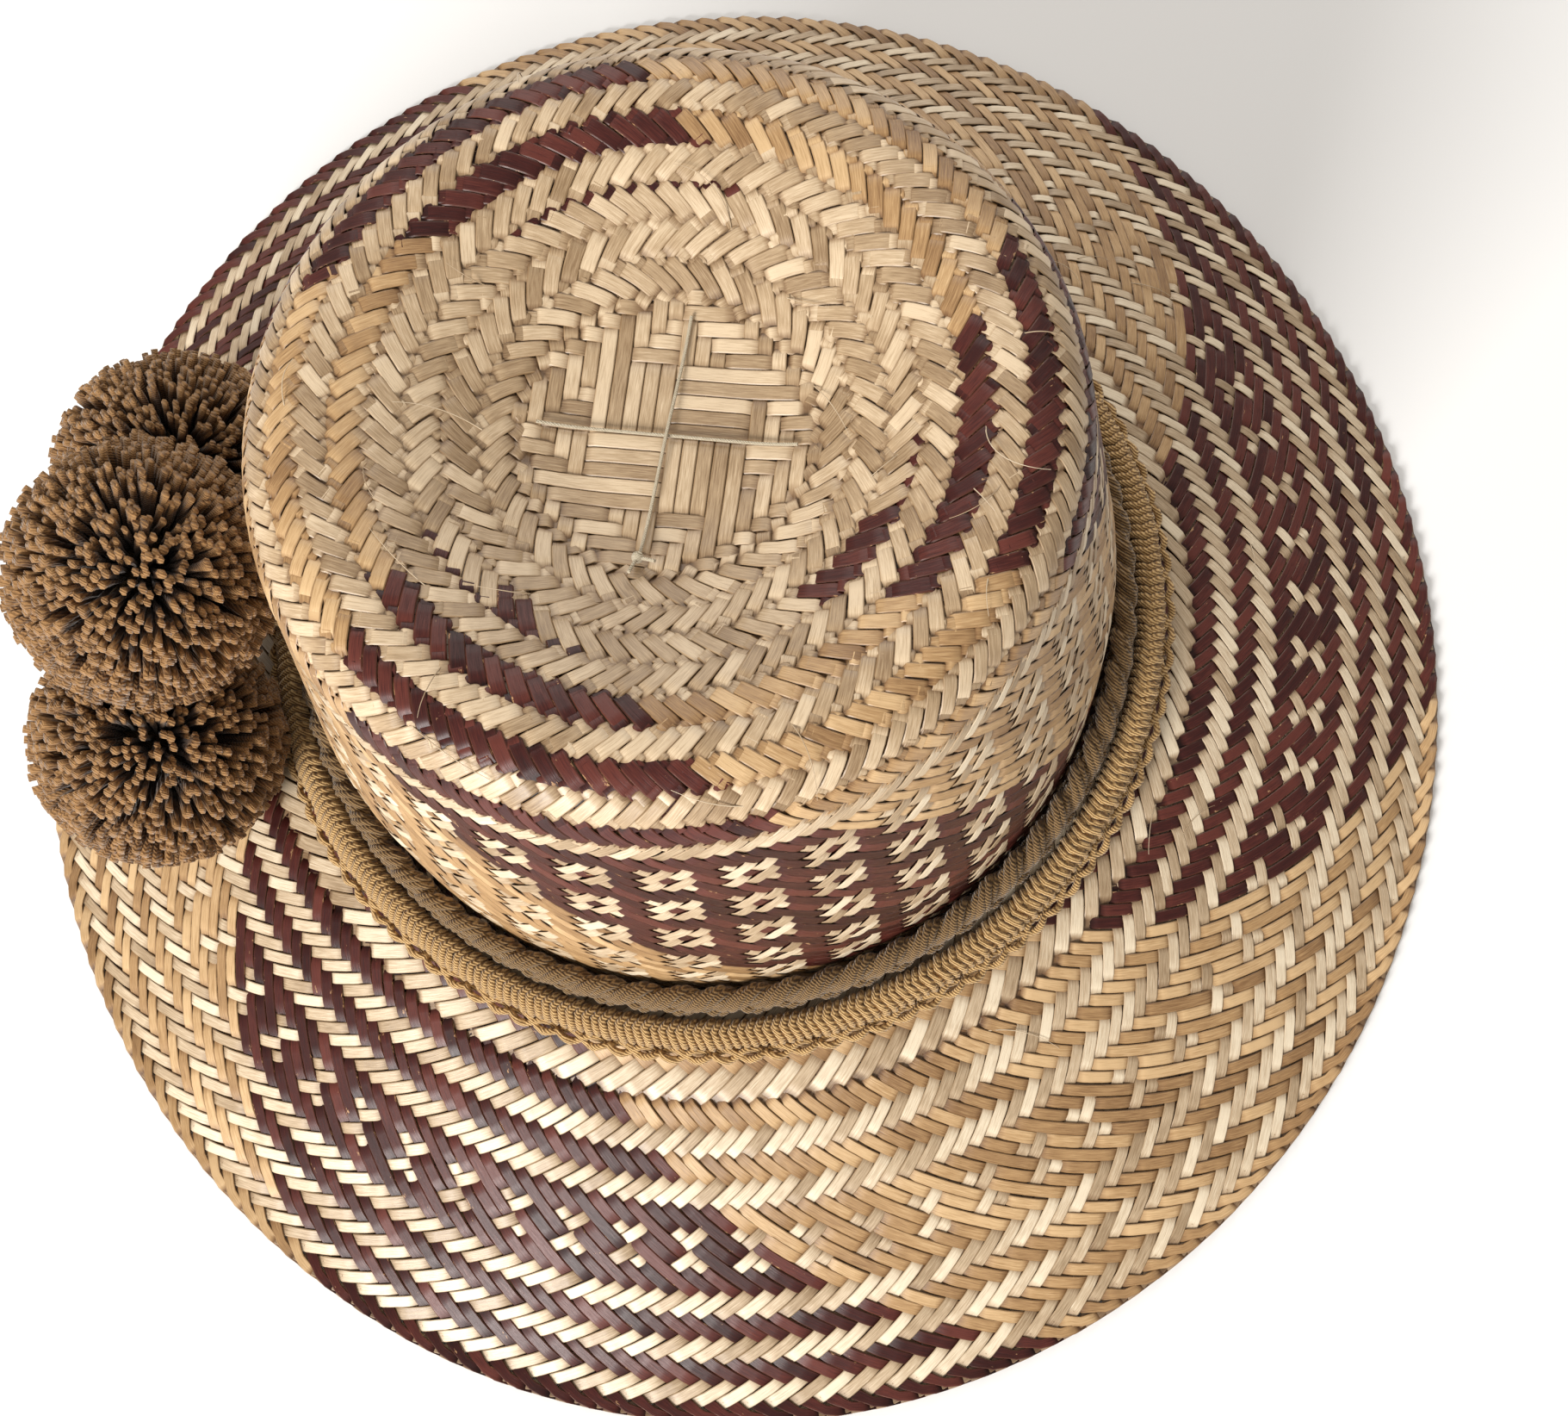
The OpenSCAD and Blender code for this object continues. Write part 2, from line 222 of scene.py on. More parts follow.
def straw_material(name, dark, middle, light, edge_colour, rough=(0.32, 0.55), specular=0.5, scuff_colour=None):
    """Split straw: fibre lines, a tone of its own for each strip, darker edges, and shade where a strip dives under."""
    material, tree, shader = new_material(name, 0.45, specular, coat=0.12, coat_rough=0.3)
    strand = attribute(tree, "strand")
    group = add(tree, "ShaderNodeGroup", node_tree=strip_fibre, Along=attribute(tree, "along"),
                Across=attribute(tree, "across"), Strand=strand, Fineness=2.4)
    own_tone = times(tree, plus(tree, group.outputs["Tone"], strand), 0.30)
    level = plus(tree, times(tree, group.outputs["Streak"], 0.55), own_tone)
    colour = ramp(tree, level, (0.36, dark), (0.55, middle), (0.74, light))
    colour = mix(tree, times(tree, group.outputs["Edge"], 0.55), colour, edge_colour)
    if scuff_colour:
        worn = math_node(tree, "GREATER_THAN",
                         plus(tree, group.outputs["Scuff"], times(tree, group.outputs["Edge"], 0.12)), 0.70)
        colour = mix(tree, worn, colour, scuff_colour)
    shown = times(tree, attribute(tree, "over"), attribute(tree, "outer"))
    open_to_light = add(tree, "ShaderNodeMapRange", Value=shown, From_Min=-0.7, From_Max=0.75,
                        To_Min=0.40, To_Max=1.0).outputs[0]
    shade = add(tree, "ShaderNodeCombineColor", Red=open_to_light,
                Green=math_node(tree, "POWER", open_to_light, 1.25), Blue=math_node(tree, "POWER", open_to_light, 1.5))
    colour = mix(tree, 1.0, colour, shade.outputs[0], "MULTIPLY")
    tree.links.new(colour, shader.inputs["Base Color"])
    gloss = add(tree, "ShaderNodeMapRange", Value=group.outputs["Streak"], To_Min=rough[0], To_Max=rough[1])
    tree.links.new(gloss.outputs[0], shader.inputs["Roughness"])
    bump = add(tree, "ShaderNodeBump", Strength=0.35, Distance=0.0002, Height=group.outputs["Height"])
    tree.links.new(bump.outputs[0], shader.inputs["Normal"])
    return material


def yarn_material(name, deep, body, tip, turns=900.0, foot_shade_and_own_tone=False):
    """Matt twisted yarn. For pompom yarns, painted shade makes each yarn darker towards its foot deep in the pompom and
    lighter to its tip, and each yarn has its own tone.
    """
    material, tree, shader = new_material(name, 0.85, 0.2, sheen=0.25)
    where = add(tree, "ShaderNodeTexCoord").outputs["Object"]
    group = add(tree, "ShaderNodeGroup", node_tree=yarn_ply, Vector=where, Turns=turns, Fuzz=2600.0)
    level = plus(tree, times(tree, group.outputs["Ply"], 0.5), times(tree, group.outputs["Fuzz"], 0.5))
    if foot_shade_and_own_tone:
        # painted shade: a yarn gets darker the deeper its part lies in the pompom
        painted_depth_shade = times(tree, math_node(tree, "POWER", attribute(tree, "reach"), 1.6), 0.55)
        own_tone = times(tree, math_node(tree, "SUBTRACT", attribute(tree, "yarn"), 0.5), 0.22)
        level = plus(tree, plus(tree, times(tree, level, 0.45), painted_depth_shade), own_tone)
    colour = ramp(tree, level, (0.18, deep), (0.5, body), (0.85, tip))
    tree.links.new(colour, shader.inputs["Base Color"])
    bump = add(tree, "ShaderNodeBump", Strength=0.6, Distance=0.0003, Height=group.outputs["Height"])
    tree.links.new(bump.outputs[0], shader.inputs["Normal"])
    return material


light_straw = straw_material("Light straw", (0.29, 0.195, 0.108), (0.53, 0.40, 0.26), (0.79, 0.67, 0.495),
                             (0.32, 0.21, 0.105))
tip_straw = straw_material("Tip straw", (0.24, 0.15, 0.075), (0.44, 0.31, 0.182), (0.68, 0.53, 0.355),
                           (0.26, 0.16, 0.073))
tan_straw = straw_material("Tan straw", (0.22, 0.115, 0.045), (0.41, 0.245, 0.108), (0.62, 0.42, 0.22),
                           (0.22, 0.12, 0.045))
dyed_straw = straw_material("Dyed straw", (0.022, 0.0035, 0.003), (0.052, 0.010, 0.008), (0.115, 0.028, 0.020),
                            (0.15, 0.06, 0.035), rough=(0.60, 0.20), specular=0.22, scuff_colour=(0.42, 0.24, 0.12))
band_yarn = yarn_material("Band yarn", (0.10, 0.048, 0.015), (0.43, 0.25, 0.095), (0.78, 0.55, 0.26), turns=620.0)
# Plait yarn: the band's own yarn darkened as painted shade, for the plait that sits between the crown's wall and the
# roll
plait_yarn_painted_shade = yarn_material("Plait yarn, painted shade", (0.032, 0.016, 0.006), (0.15, 0.083, 0.031), (0.36, 0.23, 0.10), turns=620.0)
# Pompom yarn: near black at a yarn's foot, which is painted shade deep in the pompom
pompom_yarn = yarn_material("Pompom yarn", (0.008, 0.0035, 0.0015), (0.084, 0.037, 0.014), (0.37, 0.20, 0.078),
                            turns=700.0, foot_shade_and_own_tone=True)
# Pompom core yarn: darker than the pompom's own yarn; on the core ball this is painted shade deep inside the pompom,
# and the bindings take the same colour
core_shade_and_binding_yarn = yarn_material("Pompom core yarn", (0.012, 0.007, 0.003), (0.05, 0.03, 0.012), (0.10, 0.06, 0.025))
cotton_thread = yarn_material("Cotton thread", (0.30, 0.24, 0.15), (0.55, 0.47, 0.34), (0.75, 0.68, 0.54), turns=1500.0)
sweat_tape = yarn_material("Sweatband tape", (0.42, 0.33, 0.20), (0.60, 0.50, 0.34), (0.74, 0.64, 0.47), turns=800.0)


# ---------------------------------------------------------------- Geometry Nodes trees
def sweep_tree(name, sides, flat):
    """Sweeps a rounded strip along poly lines that carry facing, girth, strand and along."""
    tree, gin, gout = new_group(
        name,
        [("Geometry", "NodeSocketGeometry", None), ("Width", "NodeSocketFloat", 1),
         ("Thickness", "NodeSocketFloat", 1), ("Material", "NodeSocketMaterial", None)],
        [("Geometry", "NodeSocketGeometry")], "GeometryNodeTree")
    curve = add(tree, "GeometryNodeMeshToCurve", Mesh=gin.outputs["Geometry"])
    turned = add(tree, "GeometryNodeSetCurveNormal", mode="FREE", Curve=curve.outputs[0],
                 _2=named_attribute(tree, "facing", "FLOAT_VECTOR"))
    girth = named_attribute(tree, "girth")
    path = add(tree, "GeometryNodeSetCurveRadius", Curve=turned.outputs[0], Radius=girth)
    ring = add(tree, "GeometryNodeCurvePrimitiveCircle", Resolution=sides, Radius=1.0).outputs["Curve"]
    place = add(tree, "GeometryNodeInputPosition").outputs[0]
    corner = add(tree, "ShaderNodeSeparateXYZ", _0=place)
    across = corner.outputs[0]
    if flat:
        squared = plus(tree, times(tree, across, 0.30), times(tree, math_node(tree, "SIGN", across), 0.70))
        upright = add(tree, "ShaderNodeCombineXYZ", X=times(tree, corner.outputs[1], -1.0), Y=squared)
        ring = add(tree, "GeometryNodeSetPosition", Geometry=ring, Position=upright.outputs[0]).outputs[0]
        ring = add(tree, "GeometryNodeCurveSplineType", spline_type="BEZIER", Curve=ring).outputs[0]
        ring = add(tree, "GeometryNodeCurveSetHandles", handle_type="VECTOR", Curve=ring).outputs[0]
        across = add(tree, "ShaderNodeSeparateXYZ", _0=place).outputs[1]
    ring = stored(tree, ring, "across", across)
    ring = stored(tree, ring, "outer", add(tree, "ShaderNodeSeparateXYZ", _0=place).outputs[0])
    size = add(tree, "ShaderNodeCombineXYZ", X=times(tree, gin.outputs["Thickness"], 0.55),
               Y=times(tree, gin.outputs["Width"], 0.5), Z=1.0)
    profile = add(tree, "GeometryNodeTransform", Geometry=ring, Scale=size.outputs[0])
    swept = add(tree, "GeometryNodeCurveToMesh", Curve=path.outputs[0], Profile_Curve=profile.outputs[0],
                Scale=girth, Fill_Caps=True)
    finish_tree(tree, swept.outputs[0], gin, gout)
    return tree


def apply_tree(obj, tree, **values):
    """Runs a Geometry Nodes tree on obj, and leaves its result as obj's own plain mesh."""
    modifier = obj.modifiers.new(tree.name, "NODES")
    modifier.node_group = tree
    for item in tree.interface.items_tree:
        if item.in_out == "INPUT" and item.name.replace(" ", "_") in values:
            modifier[item.identifier] = values[item.name.replace(" ", "_")]
    depsgraph = bpy.context.evaluated_depsgraph_get()
    mesh = bpy.data.meshes.new_from_object(obj.evaluated_get(depsgraph), depsgraph=depsgraph)
    obj.modifiers.remove(modifier)
    old, obj.data = obj.data, mesh
    mesh.name = obj.name
    bpy.data.meshes.remove(old)
    return obj


def place_in_scene(name, data):
    obj = bpy.data.objects.new(name, data)
    bpy.context.scene.collection.objects.link(obj)
    return obj


def new_object(name, points, edges=(), faces=()):
    mesh = bpy.data.meshes.new(name)
    mesh.from_pydata([tuple(p) for p in points], list(edges), list(faces))
    return place_in_scene(name, mesh)


def line_object(name, places, facing, girth, strand, closed=False, over=None):
    """Poly lines, one for each row of places, with what the sweep tree and the materials read on their points."""
    rows, count = places.shape[:2]
    step = np.arange(count - 1)
    edges = (np.arange(rows)[:, None, None] * count + np.stack([step, step + 1], 1)[None]).reshape(-1, 2)
    if closed:
        ends = np.stack([np.arange(rows) * count + count - 1, np.arange(rows) * count], 1)
        edges = np.concatenate([edges, ends])
    obj = new_object(name, places.reshape(-1, 3), edges.tolist())
    length = np.linalg.norm(np.diff(places, axis=1), axis=2)
    along = np.concatenate([np.zeros((rows, 1)), np.cumsum(length, axis=1)], 1)
    for key, kind, value in (("facing", "FLOAT_VECTOR", facing), ("girth", "FLOAT", girth), ("along", "FLOAT", along),
                             ("strand", "FLOAT", np.broadcast_to(strand[:, None], (rows, count))),
                             ("over", "FLOAT", np.ones((rows, count)) if over is None else over)):
        data = obj.data.attributes.new(key, kind, "POINT").data
        data.foreach_set("vector" if kind == "FLOAT_VECTOR" else "value", np.ascontiguousarray(value, float).ravel())
    return obj


strip_tree = sweep_tree("Woven strip", 6, True)
rope_tree = sweep_tree("Round cord", 6, False)


# ---------------------------------------------------------------- surfaces that the weave follows
dish_points, bend_points, wall_points = 240, 60, 60
bend_end = dish_points + bend_points - 2  # the profile's last point on the shoulder's bend


def crown_profile():
    """Middle of the crown's thickness from the tip's centre to the foot: distance along it, radius, height, normal."""
    dish_r = np.linspace(0, tip_r, dish_points)
    share = np.clip((dish_r - dish_flat) / (tip_r - dish_flat), 0, 1)
    dish_z = top_z - dish_depth * (1 - share * share * (3 - 2 * share)) - half_straw
    bend = np.radians(np.linspace(90, 0, bend_points))
    bend_size = (top_z - high_z) - half_straw
    bend_r, bend_z = tip_r + bend_size * np.cos(bend), high_z + bend_size * np.sin(bend)
    upright_r, end_z = foot_r - half_straw, foot_z - 1.9 * mm
    steps = np.linspace(0, 1, wall_points)[1:]
    wall_r = np.concatenate([bend_r[-1] + (upright_r - bend_r[-1]) * steps, np.full(wall_points - 1, upright_r)])
    wall_z = np.concatenate([bend_z[-1] + (straight_z - bend_z[-1]) * steps,
                             straight_z + (end_z - straight_z) * steps])
    r, z = np.concatenate([dish_r, bend_r[1:], wall_r]), np.concatenate([dish_z, bend_z[1:], wall_z])
    s = np.concatenate([[0], np.cumsum(np.hypot(np.diff(r), np.diff(z)))])
    slope_r, slope_z = np.gradient(r, s), np.gradient(z, s)
    return s, r, z, -slope_z, slope_r


crown = crown_profile()
crown_end = crown[0][-1]


def along_tip(r):
    """Distance from the tip's centre, along the crown, to radius r on the tip."""
    return np.interp(r, crown[1][:bend_end], crown[0][:bend_end])


def on_crown(s, angle):
    """Place and normal on the crown at distance s from the tip's centre."""
    r, z, nr, nz = (np.interp(s, crown[0], value) for value in crown[1:])
    cos, sin = np.cos(angle), np.sin(angle)
    normal = np.stack([nr * cos, nr * sin, nz + 0 * cos], -1)
    return np.stack([r * cos, r * sin, z + 0 * cos], -1), normal / np.linalg.norm(normal, axis=-1, keepdims=True)


def brim_height(r):
    share = np.clip((r - brim_in) / (brim_out - brim_in), 0, 1)
    return rim_top + brim_drop * (1 - share ** brim_curve) - half_straw


def on_brim(r, angle):
    """Place and normal on the oval brim at radius r to the sides."""
    stretch = r + rim_extra * np.clip((r - brim_in) / (rim_r - brim_in), 0, 1.1)
    slope = (brim_height(r + 0.5 * mm) - brim_height(r - 0.5 * mm)) / (1 * mm)
    cos, sin = np.cos(angle), np.sin(angle)
    normal = np.stack([-slope * cos, -slope * sin, 1 + 0 * cos], -1)
    return (np.stack([r * cos, stretch * sin, brim_height(r) + 0 * cos], -1),
            normal / np.linalg.norm(normal, axis=-1, keepdims=True))


# ---------------------------------------------------------------- the weave
rise = 0.38 * mm         # how far a strip goes up or down at a crossing
straw_t = 0.34 * mm      # thickness of a strip
between = 1.18           # a strip stands this much prouder between two crossings on the same side
strip_fill = 0.97        # share of its room that a strip's width takes
least_pitch = 1.2 * mm   # rings that lie closer than this don't make the strips any narrower
sway, width_spread, lift_spread = 0.05, 0.035, 0.03 * mm   # how unevenly the strips are cut and laid


def weave(name, surface, count, family, rings, reach, top, material, keep=None, turn=0.0, tuck=(0, 0), fold=()):
    """Strips of one family over a band of rings. family is -1 for strips whose angle falls outwards and 1 for the rest.

    rings are the first and last ring, and reach gives a ring's distance on the surface. top(m, x) says where the
    falling family is on top. keep picks strips, tuck sinks the two ends, and fold adds (ring, lift) points last."""
    half = np.arange(rings[0] * 2, rings[1] * 2 + 1) / 2
    first = np.arange(count)
    if keep is not None:
        first = first[keep(2 * first)]
    if len(first) == 0:
        return None
    whole = np.arange(rings[0], rings[1] + 1)
    x = 2 * first[:, None] + family * whole[None]
    over = np.where(top(np.broadcast_to(whole, x.shape), x % (2 * count)), 1.0, -1.0) * -family
    lift = np.zeros((len(first), len(half)))
    lift[:, ::2] = over
    lift[:, 1::2] = (over[:, 1:] + over[:, :-1]) / 2 * between
    if tuck[0]:
        lift[:, :2] = -tuck[0]
    if tuck[1]:
        lift[:, -2:] = -tuck[1]
    if fold:
        half = np.concatenate([half, [m for m, _ in fold]])
        lift = np.concatenate([lift, np.broadcast_to([d for _, d in fold], (len(first), len(fold)))], 1)
    step = family * np.arange(len(half)) * 0.5
    angle = (2 * first[:, None] + family * rings[0] + step[None] + turn) * math.pi / count
    angle = angle + rng.normal(0, sway, (len(first), 1)) * math.pi / count
    distance = np.broadcast_to(reach(half), angle.shape)
    places, normal = surface(distance, angle)
    nudge = 0.05 * mm
    nearby = surface(distance + nudge, angle)[0]
    pitch = np.abs(np.gradient(reach(np.sort(half)), 0.5))[None]
    pitch = np.maximum(pitch * np.linalg.norm(nearby - places, axis=-1) / nudge, least_pitch)
    tangent = math.pi * np.hypot(places[..., 0], places[..., 1]) / count
    width = 2 * tangent * pitch / np.hypot(tangent, pitch) * strip_fill
    width = width * (1 + rng.normal(0, width_spread, (len(first), 1)))
    places = places + normal * (lift * rise + rng.normal(0, lift_spread, (len(first), 1)))[..., None]
    base = float(np.median(width))
    obj = line_object(name, places, normal, width / base, rng.random(len(first)), over=lift)
    return apply_tree(obj, strip_tree, Width=base, Thickness=straw_t, Material=material)


def dyed_and_plain(sectors, count, at):
    """Two tests for strips of the rising family: in a dyed sector, in degrees, at ring number at, and outside all."""
    def dyed(x):
        angle = (x + at) * 180 / count
        found = np.zeros(angle.shape, bool)
        for start, end in sectors:
            found |= (angle - start) % 360 < end - start
        return found
    return dyed, lambda x: ~dyed(x)


pieces = {}


def finish_piece(obj, slot, *nodes, body="hat"):
    if nodes:
        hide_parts(*nodes)
    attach(obj, body)
    pieces[obj.name] = obj


def join(name, parts):
    """Several strips' meshes as one object."""
    parts = [p for p in parts if p is not None]
    for obj in bpy.context.selected_objects:
        obj.select_set(False)
    for obj in parts:
        obj.select_set(True)
    bpy.context.view_layer.objects.active = parts[0]
    if len(parts) > 1:
        bpy.ops.object.join()
    parts[0].name = name
    return parts[0]


def finish_zone(zone, sectors, at, nodes=(), **settings):
    """One woven zone in three pieces: its falling strips, and its rising ones plain and dyed."""
    dyed, plain = dyed_and_plain(sectors, settings["count"], at)
    finish_piece(weave(zone + "_falling_strips", family=-1, material=light_straw, **settings), "straw", *nodes)
    finish_piece(weave(zone + "_rising_strips", family=1, material=tan_straw, keep=plain, **settings), "straw")
    finish_piece(weave(zone + "_dyed_strips", family=1, material=dyed_straw, keep=dyed, **settings), "dyed_straw")


# Tip and shoulder: rows of three rings, each with its own radius, count and dyed sectors in degrees, that tuck
# under their neighbours
wall_top_z = 137 * mm
row_r = [33.5, 40.3, 47.0, 53.8, 60.6, 67.3]
row_s = [float(along_tip(r * mm)) for r in row_r]
wall_start = float(np.interp(-wall_top_z, -crown[2][bend_end:], crown[0][bend_end:]))
row_s += [wall_start - 20.2 * mm, wall_start - 13.5 * mm, wall_start - 6.75 * mm]
row_count = [46, 56, 65, 75, 85, 96, 106, 118, 132]
row_dye = [[], [], [(222, 235), (300, 330)], [(203, 252), (-55, -8), (70, 128)], [(206, 261), (-48, 6), (78, 137)],
           [(209, 266), (-42, 12), (82, 144)], [(212.6, 271), (-37, 18), (86, 150)],
           [(217, 276), (-32, 24), (94, 156)], [(219.6, 279.6), (-28, 29), (100, 160)]]
row_turn = 0.7  # each row starts this much of a strip further round
rings_in_row, first_tan_row = 3, 4
tip_rows, shoulder_rows = ([], [], []), ([], [], [])
for i, (s, count, sectors) in enumerate(zip(row_s, row_count, row_dye)):
    below = row_s[i - 1] if i else s - 6.8 * mm
    above = row_s[i + 1] if i + 1 < len(row_s) else wall_start
    pitch = (above - below) / (2 * rings_in_row)
    rising_on_top = i % 2 == 0
    rows = tip_rows if i < len(row_r) else shoulder_rows
    dyed, plain = dyed_and_plain(sectors, count, i * row_turn)
    rising_straw = tan_straw if i >= first_tan_row else tip_straw
    for kind, family, material, keep in ((0, -1, tip_straw, None), (1, 1, rising_straw, plain),
                                         (2, 1, dyed_straw, dyed)):
        shown = (family > 0) == rising_on_top
        rows[kind].append(weave(
            "row_%d_%d" % (i, kind), on_crown, count, family, (-2, 2) if shown else (-3, 3), lambda m: s + m * pitch,
            lambda m, x: (np.abs(m) <= 1) != rising_on_top, material, keep, turn=i * row_turn,
            tuck=(1.0, 1.0) if shown else (1.5, 1.5)))


# Centre of the tip: a square weave whose four corners each show one family
def centre_weave():
    pitch, round_r, end_tuck = 3.15 * mm, 30.5 * mm, 1.5
    cos, sin = math.cos(math.radians(-13)), math.sin(math.radians(-13))
    cells = range(-10, 10)
    made = []
    for family in (0, 1):
        for j in cells:
            offset = (j + 0.5) * pitch
            over = []
            for i in cells:
                u, v = (i + 0.5, j + 0.5) if family == 0 else (j + 0.5, i + 0.5)
                ring = int(abs(u) + abs(v) - 6) // 3
                falling = (abs(u) < 5 and abs(v) < 5) or ring % 2 == 1
                over.append(1.0 if falling == ((u * v > 0) == (family == 0)) else -1.0)
            points = []
            for n, i in enumerate(cells):
                along = (i + 0.5) * pitch
                if math.hypot(along, offset) < round_r:
                    points.append((along, over[n]))
                    if i + 1 in cells and math.hypot(along + pitch, offset) < round_r:
                        points.append((along + pitch / 2, (over[n] + over[n + 1]) / 2 * 1.15))
            if len(points) < 4:
                continue
            along, lift = np.array(points).T
            lift[0] = lift[-1] = -end_tuck
            side = np.full(len(along), offset)
            x, y = (along, side) if family == 0 else (side, along)
            x, y = x * cos - y * sin, x * sin + y * cos
            place, normal = on_crown(np.hypot(x, y), np.arctan2(y, x))
            place = place + normal * (lift * rise)[:, None]
            obj = line_object("centre", place[None], normal[None], np.ones((1, len(along))), rng.random(1),
                              over=lift[None])
            made.append(apply_tree(obj, strip_tree, Width=pitch * 0.96, Thickness=straw_t, Material=tip_straw))
    return made


tip_rows[0].extend(centre_weave())
for zone, rows, node in (("tip", tip_rows, "crown_tip"), ("shoulder", shoulder_rows, "crown_shoulder")):
    finish_piece(join(zone + "_falling_strips", rows[0]), "straw", node)
    finish_piece(join(zone + "_rising_strips", rows[1]), "straw")
    finish_piece(join(zone + "_dyed_strips", rows[2]), "dyed_straw")


# Wall: one figured field from the shoulder to the foot
def wall_draft(m, x):
    """Small squares with an open middle, eight crossings apart, between plain rows at the top and the foot."""
    u, v = (x + 3) % 8 - 4, (m - 3) % 8 - 4
    figure = (np.abs(u) <= 2) & (np.abs(v) <= 2) & ~((u == 0) & (v == 0))
    return np.where(np.abs(m) <= 1, True, np.where(m < 3, False, np.where(m > 43, (m // 3) % 2 == 0, figure)))


finish_zone("wall", [(223.6, 283.6), (-26, 34), (103, 163)], 0, nodes=["crown_wall"], surface=on_crown, count=132,
            rings=(-2, 46), reach=lambda m: np.minimum(wall_start + m * 2.15 * mm, crown_end), top=wall_draft)

# Brim: the finer field from under the band's edge to the folded rim, its rings spaced so that strips keep one width
brim_count, strip_w = 192, 2.75 * mm
ring_r = {0: 132.4 * mm}
for way, last in ((1, 31), (-1, -13)):
    r = ring_r[0]
    for m in range(way, last + way, way):
        slope = (brim_height(r - 0.5 * mm) - brim_height(r + 0.5 * mm)) / (1 * mm)
        gap = math.pi * r / brim_count
        r += way / math.sqrt(4 / strip_w ** 2 - 1 / gap ** 2) * math.cos(math.atan(slope))
        ring_r[m] = min(r, rim_r - 0.7 * mm)
ring_m = np.array(sorted(ring_r))
ring_at = np.array([ring_r[m] for m in ring_m])


def brim_draft(m, x):
    """A row of small crosses between bands of stripes."""
    n = ((x + m) // 2) % 3
    figure = (((n == 0) & ((m == 5) | (m == 9))) | ((n == 1) & ((m == 5) | (m == 6)))
              | ((n == 2) & ((m == 8) | (m == 9))))
    return np.where(m <= 1, ((m + 1) // 3) % 2 == 0, np.where(m <= 12, figure, ((m - 13) // 3) % 2 == 0))


finish_zone("brim", [(225, 285), (-15, 45), (105, 165)], 24.5, nodes=["brim", "brim_edge"], surface=on_brim,
            count=brim_count, rings=(-11, 30), reach=lambda m: np.interp(m, ring_m, ring_at), top=brim_draft,
            tuck=(1.2, 0), fold=[(30.3, -1.2), (30.3, -3.2), (29.6, -4.3), (28.4, -4.1)])

# Inner brim: a wider striped weave from the foot of the crown to under the band's edge
finish_zone("inner_brim", [(190.75, 250.75), (-49.25, 10.75), (70.75, 130.75)], 9, surface=on_brim, count=132,
            rings=(0, 11), reach=lambda m: 92.9 * mm + m * 2.05 * mm, top=lambda m, x: ((m - 8) // 3) % 2 == 0,
            tuck=(1.0, 1.2))


# ---------------------------------------------------------------- loose fibres
hair_d = 0.26 * mm


def loose_fibres():
    """Fine hairs of straw that have lifted off the weave, each anchored in it at its first point."""
    count, tip_share, steps = 34, 20, 14
    along = np.linspace(0, 1, steps)[None]
    on_tip = np.arange(count)[:, None] < tip_share
    start = np.where(on_tip, rng.uniform(18, 80, (count, 1)), rng.uniform(112, 162, (count, 1))) * mm
    angle = rng.uniform(0, 2 * math.pi, (count, 1))
    length = rng.uniform(7, 20, (count, 1)) * mm
    heading = angle + rng.uniform(-2.2, 2.2, (count, 1)) + rng.normal(0, 0.8, (count, 1)) * along
    x = start * np.cos(angle) + np.cumsum(np.cos(heading), 1) * length / steps
    y = start * np.sin(angle) + np.cumsum(np.sin(heading), 1) * length / steps
    r, turn = np.hypot(x, y), np.arctan2(y, x)
    crown_place, crown_normal = on_crown(along_tip(r), turn)
    brim_place, brim_normal = on_brim(r, turn)
    place = np.where(on_tip[..., None], crown_place, brim_place)
    normal = np.where(on_tip[..., None], crown_normal, brim_normal)
    lift = 0.3 * mm + np.sin(along * 2.4) * rng.uniform(0.6, 2.6, (count, 1)) * mm
    girth = np.broadcast_to(1.0 - 0.6 * along, r.shape)
    obj = line_object("loose_straw_fibres", place + normal * lift[..., None], normal, girth, rng.random(count))
    return apply_tree(obj, rope_tree, Width=hair_d, Thickness=hair_d, Material=light_straw)


finish_piece(loose_fibres(), "straw")


# ---------------------------------------------------------------- hat band
def ring_line(name, radius, height, material, width, strands=1, steps=720):
    """Closed cords round the crown. radius and height are functions of the angle and the strand's phase."""
    angle = np.linspace(0, 2 * math.pi, steps, endpoint=False)[None]
    phase = (np.arange(strands) * 2 * math.pi / strands)[:, None]
    r, z = (np.broadcast_to(found(angle, phase), (strands, steps)) for found in (radius, height))
    places = np.stack([r * np.cos(angle), r * np.sin(angle), z], -1)
    facing = np.stack([np.cos(angle) + 0 * r, np.sin(angle) + 0 * r, 0 * r], -1)
    obj = line_object(name, places, facing, np.ones(r.shape), rng.random(strands), closed=True)
    return apply_tree(obj, rope_tree, Width=width, Thickness=width, Material=material)


# Plait: twelve cords in three bundles; the bundles cross and the cords wind round in each
plait_r, plait_z = braid_hi[0] - 3.1 * mm, (braid_lo[2] + braid_hi[2]) / 2
plait_cords, plait_waves, cord_winds, bundle_r = 12, 24, 60, 1.25 * mm


def plait_bundle(p):
    """The phase of the bundle that a cord belongs to, and the cord's own place round it."""
    number = np.round(p * plait_cords / (2 * math.pi))
    return number // 4 * 2 * math.pi / 3, number % 4 * math.pi / 2


def plait_radius(a, p):
    bundle, place = plait_bundle(p)
    return plait_r + 0.7 * mm * np.sin(2 * (plait_waves * a + bundle)) + bundle_r * np.cos(cord_winds * a + place)


def plait_height(a, p):
    bundle, place = plait_bundle(p)
    return plait_z + 3.7 * mm * np.sin(plait_waves * a + bundle) + bundle_r * np.sin(cord_winds * a + place)


# the plait takes the darker yarn: painted shade between the wall and the roll
finish_piece(ring_line("band_plait", plait_radius, plait_height, plait_yarn_painted_shade, 2.3 * mm, strands=plait_cords,
                       steps=900), "band_yarn", "band_braid", body="hat_band")


